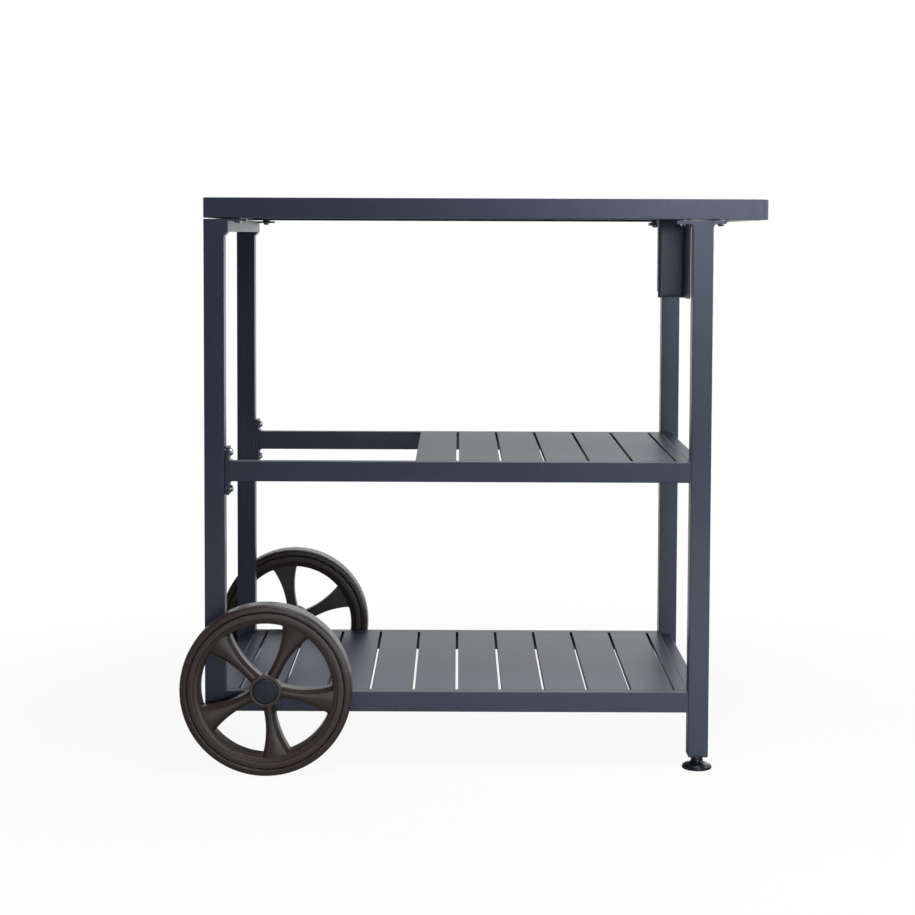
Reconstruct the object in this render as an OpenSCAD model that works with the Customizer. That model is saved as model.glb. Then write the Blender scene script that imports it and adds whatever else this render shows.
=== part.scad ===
// Plancha grill trolley: four tube legs, slatted top with a push handle, two slatted shelves,
// two spoked wheels under the left end and two levelling feet under the right legs.
// X runs along the trolley to the handle, Y from front to rear, Z up from the ground.

/* [Frame] */
// Length over the legs
frame_l = 750; // [660:5:840]
// Depth over the legs
frame_d = 500; // [440:5:560]
// Height of the top surface above the ground
top_z = 850; // [800:5:920]
// Side of the square leg tube
leg_s = 30; // [28:1:34]
// Wall of the leg tube
leg_wall = 2; // [1.5:0.1:3]
// Rounding of the long edges of every tube
tube_r = 1.2; // [1:0.1:1.8]
// Distance from the ground to the lower end of the right legs
leg_end_z = 19; // [17:0.5:24]

/* [Top] */
// Height of the top frame's tube
top_h = 30; // [26:1:36]
// Width of the top frame's tube
top_w = 30; // [28:1:34]
// Wall of the top frame's tube
top_wall = 2; // [1.5:0.1:3]
// Reach of the handle past the right legs
handle_reach = 84; // [76:1:110]
// Inner radius of the bent corners of the handle
handle_in_r = 2; // [0.5:0.5:20]

/* [Shelves] */
// Height of the middle shelf's surface
mid_z = 461; // [420:5:520]
// Height of the lower shelf's surface
low_z = 117; // [100:1:120]
// Width of the shelf rails
rail_w = 20; // [18:1:24]
// Height of the shelf rails
rail_h = 30; // [26:1:34]
// Wall of the shelf rails
rail_wall = 1.8; // [1.2:0.1:3]
// Width of a slat
slat_w = 61; // [55:1:70]
// Gap between two slats
slat_gap = 4; // [3:0.5:6]
// Thickness of a slat
slat_t = 9; // [7:0.5:12]
// Wall of a slat
slat_wall = 1.5; // [1:0.1:2]
// Rounding of a slat's long edges
slat_r = 0.8; // [0.5:0.1:1]
// Wide slats on the middle shelf, counted from the right
mid_count = 6; // [3:1:8]

/* [Plates and bolts] */
// Thickness of the bolted plates
plate_t = 5; // [4:0.5:6]
// Radius of the fillets behind the bolted plates
plate_r = 5.5; // [4:0.25:8]
// Distance from a bolt's head to the fillet beside it
bolt_gap = 1; // [0.5:0.25:3]
// Edge left beyond a bolt's head at the end of a plate
plate_edge = 4; // [2:0.5:6]
// Diameter of a bolt's shank
bolt_d = 6; // [5:0.5:6]
// Length of a bolt's shank
bolt_l = 18; // [16:1:22]
// Diameter of a bolt's button head
bolt_head_d = 11; // [10:0.5:11.5]
// Height of a bolt's button head
bolt_head_h = 4; // [3:0.25:4.5]
// Diameter of a washer
washer_d = 13; // [12:0.5:13.5]
// Thickness of a washer
washer_t = 1.6; // [1:0.1:2]
// Diameter of a rivet nut's barrel
rivet_d = 9; // [8:0.5:9.5]
// Length of a rivet nut's barrel behind the tube wall
rivet_l = 12; // [10:1:14]
// Thickness of a rivet nut's flange, which keeps plate and tube apart
rivet_flange_t = 1.5; // [1:0.1:2]
// Diameter of a rivet nut's flange
rivet_flange_d = 13; // [12:0.5:14]

/* [Left leg heads] */
// Height of the head
head_h = 20; // [18:1:24]
// Reach of the head past the leg's inner face
head_reach = 6; // [5:0.5:8]
// Reach of the lug past the head
lug_l = 27; // [25:1:32]
// Thickness of the lug
lug_t = 3; // [2.5:0.25:4]

/* [Wheels] */
// Diameter of the wheels
wheel_d = 254; // [240:2:270]
// Width of the tyres
tyre_w = 44; // [42:1:50]
// Distance from the frame's face to the tyre
wheel_gap = 4; // [3:0.5:8]
// Distance from the left legs' outer face to the axle
axle_in = 94; // [85:1:110]
// Thickness of the tyre's tread
tread_t = 11; // [9:0.5:12]
// Shoulder radius of the tyre
shoulder_r = 6; // [4:0.5:7]
// Depth of the rim inside the tyre
rim_t = 18; // [14:1:24]
// Outer radius of the hub
hub_r = 22; // [20:0.5:24]
// Outer radius of the hub's front ring
ring_r = 23.8; // [22.5:0.1:26]
// Radius of the hub cap
cap_r = 18.3; // [17:0.1:19]
// Half width of a spoke at its narrowest
spoke_half = 8; // [6.5:0.25:9]
// Radius of the hollow sides of a spoke
spoke_side_r = 140; // [125:5:160]
// Number of spokes
spokes = 5; // [4:1:6]
// Turn of the front wheel
front_turn = 63; // [0:1:72]
// Turn of the rear wheel
rear_turn = 100; // [72:1:144]

/* [Axles and feet] */
// Diameter of the stub axles
axle_d = 12; // [10:0.5:12]
// Width of an axle bracket
bracket_w = 40; // [36:1:48]
// Thickness of an axle bracket
bracket_t = 5; // [4:0.5:6]
// Diameter of a foot's disc
foot_d = 44.5; // [40:0.5:54]
// Diameter of a foot's neck
neck_d = 17.4; // [15:0.2:20]
// Diameter of a foot's threaded stud
stud_d = 10; // [8:0.5:10.5]
// Length of the stud above the foot
stud_l = 42; // [36:1:60]

/* [Hanger] */
// Width of the hanger's front face
hanger_w = 40; // [34:1:46]
// Depth of the hanger's cheek
hanger_d = 88; // [70:1:92]
// Drop of the hanger below the top frame
hanger_drop = 118; // [90:1:160]
// Distance from the front legs' face to the hanger's front face
hanger_y = 118; // [112:1:200]
// Thickness of the hanger's sheet
sheet_t = 2; // [1.5:0.25:3]
// Depth of the hanger's rear return
return_d = 19; // [14:1:26]

/* [Hidden] */
$fn = 48;
// Radial clearance of shafts and threads
fit = 0.05;
// Clearance between pieces that turn or slide past each other
play = 0.3;
// Overrun of every cut
over = 1;

// Frame places, measured from the middle of the legs
half_l = frame_l / 2;
half_d = frame_d / 2;
axle_x = axle_in - half_l;
axle_z = wheel_d / 2;
right_end = half_l + handle_reach;
left_end = wheel_d / 2 - axle_x;
frame_x = (left_end - right_end) / 2;
leg_mid_x = half_l - leg_s / 2;
leg_mid_y = leg_s / 2 - half_d;
inner_x = half_l - leg_s;
under_top = top_z - top_h;
seat_z = under_top - rivet_flange_t;
handle_r = handle_in_r + top_w;

// Legs: caps under the left ones, inserts in the right ones
cap_plate_t = 2;
cap_plug_l = 12;
insert_cap = 4;
insert_round = 3;
insert_l = 30;

// Left heads
head_z = under_top - head_h;
head_bevel = 6.5;
lug_bolt_x = head_reach + lug_l / 2 - inner_x;
cross_rail_x = head_reach - inner_x - rail_h;

// Slats
pitch = slat_w + slat_gap;
end_slat_min = slat_t;

// Bolts and screws
bolt_play = 0.6;
bolt_hole_d = bolt_d + bolt_play;
socket_d = 0.4 * bolt_head_d;
button_edge = 0.35;
button_r = (pow(bolt_head_d / 2, 2) + pow(bolt_head_h, 2)) / (2 * bolt_head_h) + button_edge;
screw_d = 4;
screw_head_d = 8;
screw_head_h = 2;
screw_l = 9;

// Bolted plates: the top's under the right legs' heads, the middle shelf's on the left legs
top_pitch = leg_s + 2 * plate_r + bolt_head_d + 2 * bolt_gap;
top_plate_l = top_pitch + bolt_head_d + 2 * plate_edge;
plate_bevel = plate_edge;
washer_gap = 0.25;
mid_pitch = rail_h + 2 * plate_r + washer_d + 2 * washer_gap;
mid_plate_edge = 1.75;
mid_plate_l = mid_pitch + washer_d + 2 * mid_plate_edge;
mid_plate_x = rivet_flange_t - inner_x;
mid_mid_z = mid_z - rail_h / 2;

// Wheels: w runs outwards along the axle from the middle of the tyre
wheel_y = half_d + wheel_gap + tyre_w / 2;
tyre_half = tyre_w / 2;
frame_w = -wheel_gap - tyre_half;
seat_r = wheel_d / 2 - tread_t;
rim_in_r = seat_r - rim_t;
key_t = 3;
key_half = 9;
key_r = seat_r - key_t;
lip_w = 10;
lip_r = seat_r - lip_w;
lip_step = 1.6;
vee = 1;
groove_w = 1.6;
groove_t = 1.2;
tread_ribs = 5;
face_drop = 5;
back_drop = 8;
face_w = tyre_half - face_drop;
back_w = back_drop - tyre_half;
spoke_drop = 0.6;
spoke_face_w = face_w - spoke_drop;
flange_in = 4.5;
flange_drop = 3;
narrow_r = 38;
ring_proud = 0.8;
ring_face_w = tyre_half + ring_proud;
recess_w = 7;

// Bushes, washers, nut and cap on the axle
bush_wall = 2;
bush_flange_t = 1.5;
bush_flange_d = 22;
bush_apart = 3;
inner_washer_t = 1;
outer_washer_t = 2;
axle_washer_d = 24;
nut_af = 19;
nut_h = 7;
thread_tip = 0.5;
bracket_face_w = frame_w + bracket_t;
bracket_lift = 2;
hub_back_w = bracket_face_w + inner_washer_t + play + bush_flange_t;
bush_l = (recess_w - hub_back_w - bush_apart) / 2;
nut_w = recess_w + bush_flange_t + play + outer_washer_t;
axle_tip_w = nut_w + nut_h + thread_tip;
cap_t = 3.4;
cap_proud = 1.2;
cap_skirt = 1.8;
cap_skirt_l = 4;

// Feet
foot_rim_h = 6;
foot_rim_r = 2.5;
crown_z = 9;
crown_r = 12.5;
neck_z = 13.5;
foot_gap = 0.2;

// Hanger
hanger_top_gap = 1;
hanger_corner = 12;
return_short = 9;
hanger_lip = 14;
hanger_relief = 1;
hanger_screw_in = 16;
hanger_screw_pitch = 50;

// Moves from the legs' middle to the middle of the whole trolley
module placed() {
    translate([frame_x, 0, 0]) children();
}

module front_and_rear() {
    children();
    mirror([0, 1, 0]) children();
}

module at_rear() {
    mirror([0, 1, 0]) children();
}

// Rectangle with round corners, from the origin
module round_rect(w, h, r) {
    translate([r, 0]) square([w - 2 * r, h]);
    translate([0, r]) square([w, h - 2 * r]);
    for (x = [r, w - r], y = [r, h - r]) translate([x, y]) circle(r);
}

module tube_section(w, h, r, wall) {
    difference() {
        round_rect(w, h, r);
        translate([wall, wall]) square([w - 2 * wall, h - 2 * wall]);
    }
}

// Extrudes a section along X, its first axis on Y and its second on Z
module along_x(x0, x1, y, z) {
    translate([x0, y, z]) rotate([90, 0, 90]) linear_extrude(x1 - x0) children();
}

// Extrudes a section along Y, its first axis on X and its second on Z
module along_y(y0, y1, x, z) {
    translate([x, y1, z]) rotate([90, 0, 0]) linear_extrude(y1 - y0) children();
}

// Concave fillet between a plate and a tube, in the corner at the origin, towards +x and +y
module fillet_section(r) {
    difference() {
        square(r);
        translate([r, r]) circle(r);
    }
}

module leg_tube(x, y, z0, z1) {
    translate([x - leg_s / 2, y - leg_s / 2, z0])
        linear_extrude(z1 - z0) tube_section(leg_s, leg_s, tube_r, leg_wall);
}

// Left leg: ends level with the lower shelf's underside, drilled for the shelf plate's nuts
module left_leg() {
    color("#3a3f4b") difference() {
        leg_tube(-leg_mid_x, leg_mid_y, low_z - rail_h + cap_plate_t, head_z);
        for (side = [-1, 1])
            translate([-leg_mid_x, leg_mid_y, mid_mid_z + side * mid_pitch / 2])
                rotate([0, 90, 0]) cylinder(d = rivet_d, h = leg_s);
    }
}

module right_leg() {
    color("#4c5260")
        leg_tube(leg_mid_x, leg_mid_y, leg_end_z + insert_cap, seat_z - plate_t);
}

// Head of a left leg: block on the tube, bevel on its inner side and a thin lug with one bolt
module left_head() {
    color("#3a3f4b") difference() {
        union() {
            along_y(-half_d, leg_s - half_d, -half_l, head_z)
                square([leg_s + head_reach, seat_z - head_z]);
            along_y(-half_d, leg_s - half_d, -inner_x, head_z - head_bevel)
                polygon([[0, 0], [head_reach, head_bevel], [0, head_bevel]]);
            along_y(-half_d, leg_s - half_d, head_reach - inner_x, seat_z - lug_t)
                square([lug_l, lug_t]);
        }
        translate([lug_bolt_x, leg_mid_y, seat_z - lug_t - over])
            cylinder(d = bolt_hole_d, h = lug_t + 2 * over);
    }
}

// Head of a right leg: T plate with a fillet on each side and a bevelled outer end
module right_head() {
    color("#4c5260") difference() {
        union() {
            along_y(-half_d, leg_s - half_d, leg_mid_x - top_plate_l / 2, seat_z - plate_t)
                polygon([
                    [0, 0], [top_plate_l - plate_bevel, 0], [top_plate_l, plate_t], [0, plate_t]
                ]);
            for (side = [0, 1])
                translate([leg_mid_x, 0, 0]) mirror([side, 0, 0])
                    along_y(-half_d, leg_s - half_d, leg_s / 2, seat_z - plate_t)
                        mirror([0, 1, 0]) fillet_section(plate_r);
        }
        for (side = [-1, 1])
            translate([leg_mid_x + side * top_pitch / 2, leg_mid_y, seat_z - plate_t - over])
                cylinder(d = bolt_hole_d, h = plate_t + 2 * over);
    }
}

module left_cross_rail() {
    color("#4a505d")
        along_y(leg_s - half_d, half_d - leg_s, cross_rail_x, head_z)
            tube_section(rail_h, seat_z - head_z, tube_r, rail_wall);
}

module leg_cap() {
    color("#1d2026") {
        translate([-half_l, -half_d, low_z - rail_h])
            linear_extrude(cap_plate_t) round_rect(leg_s, leg_s, tube_r);
        translate([leg_wall - half_l, leg_wall - half_d, low_z - rail_h])
            cube([leg_s - 2 * leg_wall, leg_s - 2 * leg_wall, cap_plate_t + cap_plug_l]);
    }
}

// Closes the right leg and carries the thread of the foot
module leg_insert() {
    color("#4c5260") difference() {
        union() {
            translate([inner_x, -half_d, leg_end_z]) intersection() {
                linear_extrude(insert_cap) round_rect(leg_s, leg_s, tube_r);
                insert_block();
                translate([0, leg_s, 0]) rotate([0, 0, -90]) insert_block();
            }
            translate([inner_x + leg_wall, leg_wall - half_d, leg_end_z + insert_cap])
                cube([leg_s - 2 * leg_wall, leg_s - 2 * leg_wall, insert_l - insert_cap]);
        }
        translate([leg_mid_x, leg_mid_y, leg_end_z - over])
            cylinder(d = stud_d + 2 * fit, h = insert_l + 2 * over);
    }
}

// Block whose two lower edges along Y are rounded
module insert_block() {
    along_y(0, leg_s, 0, 0) difference() {
        square([leg_s, insert_cap]);
        fillet_section(insert_round);
        translate([leg_s, 0]) mirror([1, 0]) fillet_section(insert_round);
    }
}

// Triangle that cuts the end of a rail at 45 degrees in the front left corner of the top
module mitre(upper) {
    far = top_w + over;
    tip = upper ? [-over, far] : [far, -over];
    translate([-half_l, -half_d, under_top - over]) linear_extrude(top_h + 2 * over)
        polygon([[-over, -over], [far, far], tip]);
}

module rivet_hole(x) {
    translate([x, leg_mid_y, under_top - over]) cylinder(d = rivet_d, h = top_wall + 2 * over);
}

module top_side_rail() {
    color("#4a505d") difference() {
        along_x(-half_l, right_end - handle_r, -half_d, under_top)
            tube_section(top_w, top_h, tube_r, top_wall);
        mitre(true);
        rivet_hole(lug_bolt_x);
        for (side = [-1, 1]) rivet_hole(leg_mid_x + side * top_pitch / 2);
    }
}

module top_left_rail() {
    color("#3f4450") difference() {
        along_y(-half_d, half_d, -half_l, under_top)
            tube_section(top_w, top_h, tube_r, top_wall);
        front_and_rear() mitre(false);
    }
}

// Rail over the right legs, drilled for the hanger's screws
module top_inner_rail() {
    color("#565c69") difference() {
        along_y(top_w - half_d, half_d - top_w, inner_x, under_top)
            tube_section(top_w, top_h, tube_r, top_wall);
        hanger_screw_places() translate([0, 0, -over])
            cylinder(d = screw_d + 2 * fit, h = top_wall + 2 * over);
    }
}

// Bent tube: two round corners joined by the straight grip
module handle_bar() {
    straight = half_d - handle_r;
    color("#5b6270") {
        along_y(-straight, straight, right_end - top_w, under_top)
            tube_section(top_w, top_h, tube_r, top_wall);
        front_and_rear() translate([right_end - handle_r, -straight, under_top])
            rotate([0, 0, -90]) rotate_extrude(angle = 90)
                translate([handle_in_r, 0]) tube_section(top_w, top_h, tube_r, top_wall);
    }
}

// Hollow plank; a wide one has a web in the middle
module slat_section(w) {
    cells = w > slat_w / 2 ? 2 : 1;
    cell_w = (w - (cells + 1) * slat_wall) / cells;
    difference() {
        round_rect(w, slat_t, slat_r);
        for (i = [0 : cells - 1])
            translate([slat_wall + i * (cell_w + slat_wall), slat_wall])
                square([cell_w, slat_t - 2 * slat_wall]);
    }
}

module slat(x, w, z, length) {
    color("#7c8087") along_y(-length / 2, length / 2, x, z - slat_t) slat_section(w);
}

// Wide slats that fit between two rails, and the width left over at each end
function slat_count(x0, x1) = floor((x1 - x0 - slat_gap) / pitch);
function end_slat_w(x0, x1) = (x1 - x0 - slat_gap - slat_count(x0, x1) * pitch) / 2;

// Fills the field from x0 to x1 with slats; first skips wide slats at the left
module slat_row(x0, x1, z, length, first) {
    end_w = end_slat_w(x0, x1);
    for (i = [first : slat_count(x0, x1) - 1])
        slat(x0 + end_w + slat_gap + i * pitch, slat_w, z, length);
    if (end_w > end_slat_min) {
        slat(x1 - end_w, end_w, z, length);
        if (first == 0) slat(x0, end_w, z, length);
    }
}

// Shelf rail along X at the front
module shelf_side_rail(x0, z) {
    color("#4a505d") along_x(x0, inner_x, -half_d, z - rail_h)
        tube_section(rail_w, rail_h, tube_r, rail_wall);
}

// Shelf rail along Y between two legs, its inner face level with theirs
module shelf_end_rail(x0, z) {
    color("#565c69") along_y(leg_s - half_d, half_d - leg_s, x0, z - rail_h)
        tube_section(rail_w, rail_h, tube_r, rail_wall);
}

// Plate that bolts the middle shelf to a left leg, with fillets above and below the rail
module mid_plate() {
    color("#3a3f4b") difference() {
        union() {
            along_x(mid_plate_x, mid_plate_x + plate_t, -half_d, mid_mid_z - mid_plate_l / 2)
                square([leg_s, mid_plate_l]);
            for (side = [0, 1])
                translate([0, 0, mid_mid_z]) mirror([0, 0, side])
                    along_y(-half_d, rail_w - half_d, mid_plate_x + plate_t, rail_h / 2)
                        fillet_section(plate_r);
        }
        for (side = [-1, 1])
            translate([mid_plate_x - over, leg_mid_y, mid_mid_z + side * mid_pitch / 2])
                rotate([0, 90, 0]) cylinder(d = bolt_hole_d, h = plate_t + 2 * over);
    }
}

// Button-head bolt: the head's underside is at the origin, the shank runs up
module button_bolt() {
    color("#c9ccd0") difference() {
        union() {
            cylinder(d = bolt_d, h = bolt_l);
            intersection() {
                translate([0, 0, -bolt_head_h]) cylinder(d = bolt_head_d, h = bolt_head_h);
                translate([0, 0, button_r - bolt_head_h]) sphere(button_r);
            }
        }
        translate([0, 0, -bolt_head_h - over])
            cylinder(d = socket_d, h = over + bolt_head_h / 2, $fn = 6);
    }
}

// Rivet nut: the flange's outer face is at the origin, the barrel runs up
module rivet_nut() {
    color("#b9bcc0") difference() {
        union() {
            cylinder(d = rivet_flange_d, h = rivet_flange_t);
            cylinder(d = rivet_d, h = rivet_flange_t + rivet_l);
        }
        translate([0, 0, -over])
            cylinder(d = bolt_d + 2 * fit, h = rivet_flange_t + rivet_l + 2 * over);
    }
}

module on_top_bolts(drop_left, drop_right) {
    front_and_rear() {
        translate([lug_bolt_x, leg_mid_y, seat_z - drop_left]) children();
        for (side = [-1, 1])
            translate([leg_mid_x + side * top_pitch / 2, leg_mid_y, seat_z - drop_right])
                children();
    }
}

// Places along X at the middle shelf's plates, the piece's own Z turned to -X
module on_mid_bolts(x) {
    front_and_rear() for (side = [-1, 1])
        translate([x, leg_mid_y, mid_mid_z + side * mid_pitch / 2]) rotate([0, -90, 0]) children();
}

// Front axle's frame: Z runs outwards along the axle from the middle of the tyre
module on_axle(turn) {
    translate([axle_x, -wheel_y, axle_z]) rotate([90, 0, 0]) rotate([0, 0, turn]) children();
}

module axle_bracket() {
    bottom = low_z - rail_h + bracket_lift - axle_z;
    color("#3a3f4b") on_axle(0) translate([0, 0, frame_w]) difference() {
        linear_extrude(bracket_t) {
            translate([-bracket_w / 2, bottom]) square([bracket_w, -bottom]);
            circle(d = bracket_w);
        }
        translate([0, 0, -over]) cylinder(d = axle_d, h = bracket_t + 2 * over);
    }
}

// Stub axle, set in the bracket: plain shank through bushes, washers and nut
module stub_axle() {
    color("#b9bcc0") on_axle(0) translate([0, 0, frame_w])
        cylinder(d = axle_d, h = axle_tip_w - frame_w);
}

module ring(d_in, d_out, h) {
    difference() {
        cylinder(d = d_out, h = h);
        translate([0, 0, -over]) cylinder(d = d_in, h = h + 2 * over);
    }
}

module axle_washer_pair() {
    color("#b9bcc0") on_axle(0) {
        translate([0, 0, bracket_face_w]) ring(axle_d + 2 * fit, axle_washer_d, inner_washer_t);
        translate([0, 0, nut_w - outer_washer_t])
            ring(axle_d + 2 * fit, axle_washer_d, outer_washer_t);
    }
}

module axle_nut() {
    color("#b9bcc0") on_axle(0) translate([0, 0, nut_w]) difference() {
        intersection() {
            cylinder(d = nut_af / cos(30), h = nut_h, $fn = 6);
            cylinder(d1 = nut_af / cos(30) + 2 * nut_h, d2 = nut_af, h = nut_h);
        }
        translate([0, 0, -over]) cylinder(d = axle_d + 2 * fit, h = nut_h + 2 * over);
    }
}

// Points of one side of an outline and the same points mirrored to the other side
function both_sides(half) = concat(
    [for (i = [len(half) - 1 : -1 : 0]) [half[i][0], -half[i][1]]],
    half
);

// Half of the tyre's section: key in the rim, shoulder and ribbed tread
module tyre_section() {
    tyre_r = wheel_d / 2;
    crown_half = tyre_half - shoulder_r;
    step = 2 * crown_half / tread_ribs;
    half = concat(
        [[key_r, key_half], [seat_r, key_half], [seat_r, tyre_half - vee], [seat_r + vee, tyre_half]],
        [for (a = [90 : -15 : 0])
            [tyre_r - shoulder_r + shoulder_r * cos(a), crown_half + shoulder_r * sin(a)]]
    );
    difference() {
        polygon(both_sides(half));
        for (i = [0 : tread_ribs])
            translate([tyre_r - groove_t, i * step - crown_half - groove_w / 2])
                square([groove_t + over, groove_w]);
    }
}

module tyre() {
    color("#3a3533") rotate_extrude($fn = 96) tyre_section();
}

// Rim's section: bevel inside, raised lip and a channel for the tyre's key
module rim_section() {
    polygon(both_sides([
        [rim_in_r, face_w],
        [lip_r, tyre_half - lip_step],
        [lip_r, tyre_half],
        [seat_r - vee, tyre_half],
        [seat_r, tyre_half - vee],
        [seat_r, key_half],
        [key_r, key_half]
    ]));
}

// One spoke along X between two hollow sides, narrower all round by inset
module spoke_outline(inset) {
    root_r = hub_r - spoke_half / 2;
    side_y = spoke_side_r + spoke_half - inset;
    difference() {
        translate([root_r, -4 * spoke_half]) square([rim_in_r + vee - root_r, 8 * spoke_half]);
        for (side = [-1, 1]) translate([narrow_r, side * side_y]) circle(spoke_side_r, $fn = 96);
    }
}

// Spoke: full width at the back, a narrower raised face at the front
module spoke() {
    flange_w = spoke_face_w - flange_drop;
    translate([0, 0, back_w]) linear_extrude(flange_w - back_w) spoke_outline(0);
    translate([0, 0, flange_w - over])
        linear_extrude(flange_drop + over) spoke_outline(flange_in);
}

// Moulded wheel: rim, spokes, hub with a bore for the bushes and a recess under the cap
module wheel() {
    color("#3a3533") difference() {
        union() {
            rotate_extrude($fn = 96) rim_section();
            for (i = [0 : spokes - 1]) rotate([0, 0, i * 360 / spokes]) spoke();
            translate([0, 0, hub_back_w]) cylinder(r = hub_r, h = face_w - hub_back_w);
            rotate_extrude() polygon([
                [0, recess_w], [hub_r, recess_w], [ring_r, recess_w + vee],
                [ring_r, ring_face_w - vee], [ring_r - vee, ring_face_w], [0, ring_face_w]
            ]);
        }
        translate([0, 0, hub_back_w - over])
            cylinder(d = axle_d + 2 * bush_wall + 2 * fit, h = recess_w - hub_back_w + 2 * over);
        translate([0, 0, recess_w]) cylinder(r = cap_r + fit, h = ring_face_w - recess_w + over);
    }
}

// Flanged bush with its flange's outer face at the origin, the sleeve runs up
module bush() {
    difference() {
        union() {
            cylinder(d = bush_flange_d, h = bush_flange_t);
            cylinder(d = axle_d + 2 * bush_wall, h = bush_flange_t + bush_l);
        }
        translate([0, 0, -over])
            cylinder(d = axle_d + 2 * fit, h = bush_flange_t + bush_l + 2 * over);
    }
}

module bush_pair() {
    color("#d8d8d0") {
        translate([0, 0, hub_back_w - bush_flange_t]) bush();
        translate([0, 0, recess_w + bush_flange_t]) mirror([0, 0, 1]) bush();
    }
}

// Cap: slightly domed disc with a skirt that clips into the recess
module hub_cap() {
    face = ring_face_w + cap_proud;
    color("#262a31") rotate_extrude() polygon([
        [0, face - cap_t], [cap_r - cap_skirt, face - cap_t],
        [cap_r - cap_skirt, face - cap_t - cap_skirt_l], [cap_r, face - cap_t - cap_skirt_l],
        [cap_r, face - cap_proud], [cap_r - cap_proud, face - cap_proud / 4], [0, face]
    ]);
}

// Levelling foot: round rimmed disc, domed crown and a flared neck
module foot_pad() {
    rim = foot_d / 2;
    neck = neck_d / 2;
    flare_r = crown_r - neck;
    color("#17191d") translate([leg_mid_x, leg_mid_y, 0]) difference() {
        rotate_extrude() polygon(concat(
            [[0, 0]],
            [for (a = [-90 : 15 : 60])
                [rim - foot_rim_r + foot_rim_r * cos(a), foot_rim_r + foot_rim_r * sin(a)]],
            [[rim - 2 * foot_rim_r, foot_rim_h]],
            [for (a = [-90 : -15 : -180])
                [crown_r + flare_r * cos(a), neck_z + (neck_z - crown_z) * sin(a)]],
            [[neck, leg_end_z - foot_gap], [0, leg_end_z - foot_gap]]
        ));
        translate([0, 0, foot_rim_h]) cylinder(d = stud_d, h = leg_end_z);
    }
}

module foot_stud() {
    color("#b9bcc0") translate([leg_mid_x, leg_mid_y, foot_rim_h])
        cylinder(d = stud_d, h = leg_end_z + stud_l - foot_rim_h);
}

// Where the hanger's screws enter the inner rail, their Z along X
module hanger_screw_places() {
    for (i = [0, 1])
        translate([
            inner_x,
            hanger_y - half_d - hanger_screw_in - i * hanger_screw_pitch,
            top_z - (top_h + slat_t) / 2
        ]) rotate([0, 90, 0]) children();
}

// Folded sheet: front face, cheek screwed to the inner rail, returns at the left and below
module hanger() {
    x0 = inner_x - hanger_w;
    y0 = hanger_y - half_d;
    z0 = under_top - hanger_drop;
    h = top_z - slat_t - hanger_top_gap - z0;
    color("#555c6a") difference() {
        union() {
            translate([x0, y0, z0]) cube([hanger_w, sheet_t, h]);
            translate([x0 + hanger_relief, y0, z0])
                cube([hanger_w - 2 * hanger_relief, hanger_lip, sheet_t]);
            translate([x0, y0, z0 + return_short]) cube([sheet_t, return_d, h - return_short]);
            along_x(inner_x - sheet_t, inner_x, y0 + sheet_t - hanger_d, z0) {
                translate([hanger_corner, 0]) square([hanger_d - hanger_corner, h]);
                translate([0, hanger_corner]) square([hanger_d, h - hanger_corner]);
                translate([hanger_corner, hanger_corner]) circle(hanger_corner);
            }
        }
        hanger_screw_places() translate([0, 0, -sheet_t - over])
            cylinder(d = screw_d + 2 * fit, h = sheet_t + 2 * over);
    }
}

module hanger_screw() {
    color("#b9bcc0") {
        translate([0, 0, -sheet_t]) cylinder(d = screw_d, h = screw_l);
        translate([0, 0, -sheet_t - screw_head_h]) cylinder(d = screw_head_d, h = screw_head_h);
    }
}

module leg_front_left() { placed() left_leg(); }
module leg_rear_left() { placed() at_rear() left_leg(); }
module leg_front_right() { placed() right_leg(); }
module leg_rear_right() { placed() at_rear() right_leg(); }
module leg_heads_left() { placed() front_and_rear() left_head(); }
module leg_heads_right() { placed() front_and_rear() right_head(); }
module leg_caps_left() { placed() front_and_rear() leg_cap(); }
module leg_inserts_right() { placed() front_and_rear() leg_insert(); }
module top_front_rail() { placed() top_side_rail(); }
module top_rear_rail() { placed() at_rear() top_side_rail(); }
module mid_front_rail() { placed() shelf_side_rail(mid_plate_x + plate_t, mid_z); }
module mid_rear_rail() { placed() at_rear() shelf_side_rail(mid_plate_x + plate_t, mid_z); }
module mid_right_rail() { placed() shelf_end_rail(inner_x, mid_z); }
module top_slats() { placed() slat_row(top_w - half_l, inner_x, top_z, frame_d - 2 * top_w, 0); }
module low_slats() { placed() slat_row(-inner_x, inner_x, low_z, frame_d - 2 * rail_w, 0); }
module mid_plate_front() { placed() mid_plate(); }
module mid_plate_rear() { placed() at_rear() mid_plate(); }
module low_front_rail() { placed() shelf_side_rail(-inner_x, low_z); }
module low_rear_rail() { placed() at_rear() shelf_side_rail(-inner_x, low_z); }
module low_left_rail() { placed() shelf_end_rail(-inner_x - rail_w, low_z); }
module low_right_rail() { placed() shelf_end_rail(inner_x, low_z); }
module axle_bracket_front() { placed() axle_bracket(); }
module axle_bracket_rear() { placed() at_rear() axle_bracket(); }
module stub_axle_front() { placed() stub_axle(); }
module stub_axle_rear() { placed() at_rear() stub_axle(); }
module axle_washers() { placed() front_and_rear() axle_washer_pair(); }
module axle_nuts() { placed() front_and_rear() axle_nut(); }
module tyre_front() { placed() on_axle(front_turn) tyre(); }
module wheel_front() { placed() on_axle(front_turn) wheel(); }
module bushes_front() { placed() on_axle(0) bush_pair(); }
module hub_cap_front() { placed() on_axle(0) hub_cap(); }
module tyre_rear() { placed() at_rear() on_axle(rear_turn) tyre(); }
module wheel_rear() { placed() at_rear() on_axle(rear_turn) wheel(); }
module bushes_rear() { placed() at_rear() on_axle(0) bush_pair(); }
module hub_cap_rear() { placed() at_rear() on_axle(0) hub_cap(); }
module foot_front() { placed() foot_pad(); }
module foot_stud_front() { placed() foot_stud(); }
module foot_rear() { placed() at_rear() foot_pad(); }
module foot_stud_rear() { placed() at_rear() foot_stud(); }
module top_bolts() { placed() on_top_bolts(lug_t, plate_t) button_bolt(); }
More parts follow.
